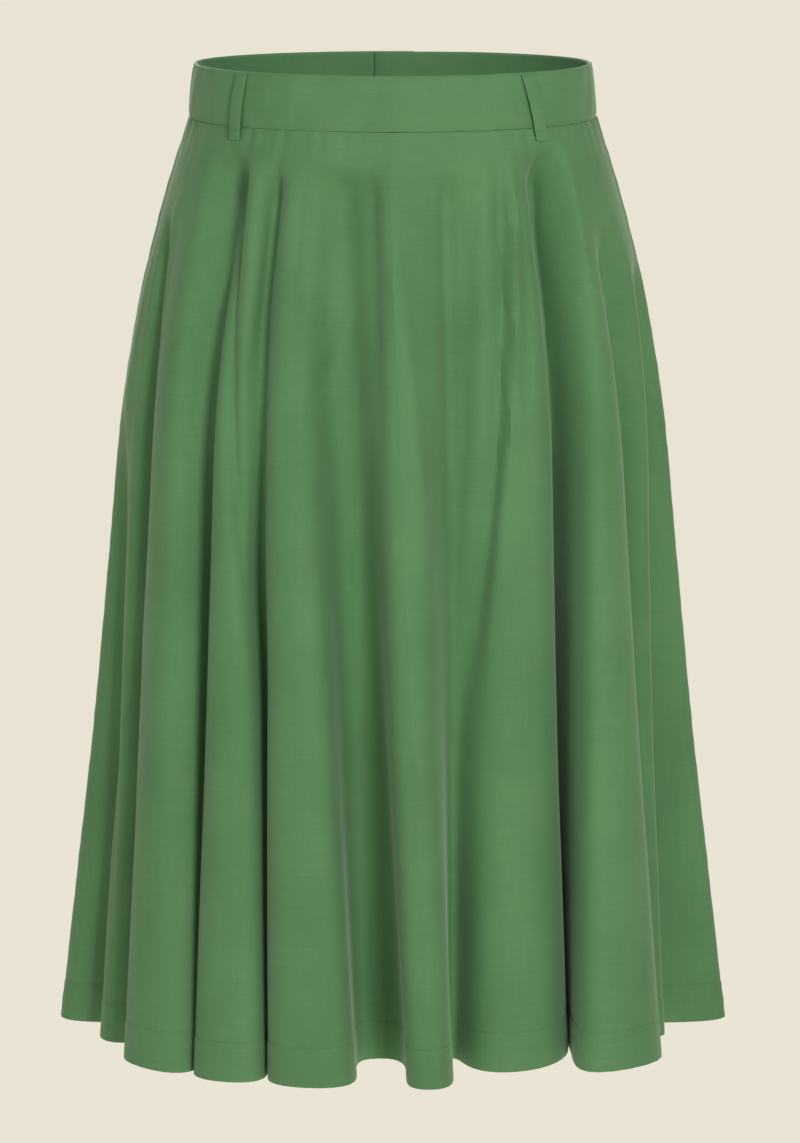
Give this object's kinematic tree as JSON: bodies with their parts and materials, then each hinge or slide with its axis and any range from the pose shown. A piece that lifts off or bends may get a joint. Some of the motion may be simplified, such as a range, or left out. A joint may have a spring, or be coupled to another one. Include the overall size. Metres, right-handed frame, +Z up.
{
  "type": "flared midi skirt",
  "caption": "Worn-shape flared skirt with deep soft folds, a straight waistband with belt loops, and a concealed back zip with a hinged pull tab.",
  "frame": {"origin": "middle of the waist opening, at half the waistband's height, on the upright line that both side seams' tops lie beside", "axes": "+Z up, towards the waistband's top edge; -Y towards the front; +X towards the wearer's left side"},
  "size_m": [0.4432, 0.3261, 0.636],
  "materials": {
    "skirt_cloth": "smooth plain-woven mid green cloth, matt with a faint sheen at grazing angles",
    "zip_tape": "woven green tape",
    "zip_metal": "green enamel",
    "button": "dyed green resin, satin"
  },
  "bodies": {
    "skirt": {"front_left": "skirt_cloth", "front_right": "skirt_cloth", "back_left": "skirt_cloth", "back_right": "skirt_cloth", "waistband": "skirt_cloth", "belt_loop_front_left": "skirt_cloth", "belt_loop_front_right": "skirt_cloth", "belt_loop_back_right": "skirt_cloth", "belt_loop_back_left": "skirt_cloth", "zip_tape_left": "zip_tape", "zip_tape_right": "zip_tape", "zip_slider": "zip_metal", "waist_button": "button"},
    "pull_tab": {"zip_pull": "zip_metal"}
  },
  "joints": [
    {"name": "pull_tab_hinge", "type": "hinge", "parent": "skirt", "child": "pull_tab", "pos_m": [0, 0.08954, -0.02645], "axis": [1, 0, 0], "range_deg": [0, 145]}
  ]
}
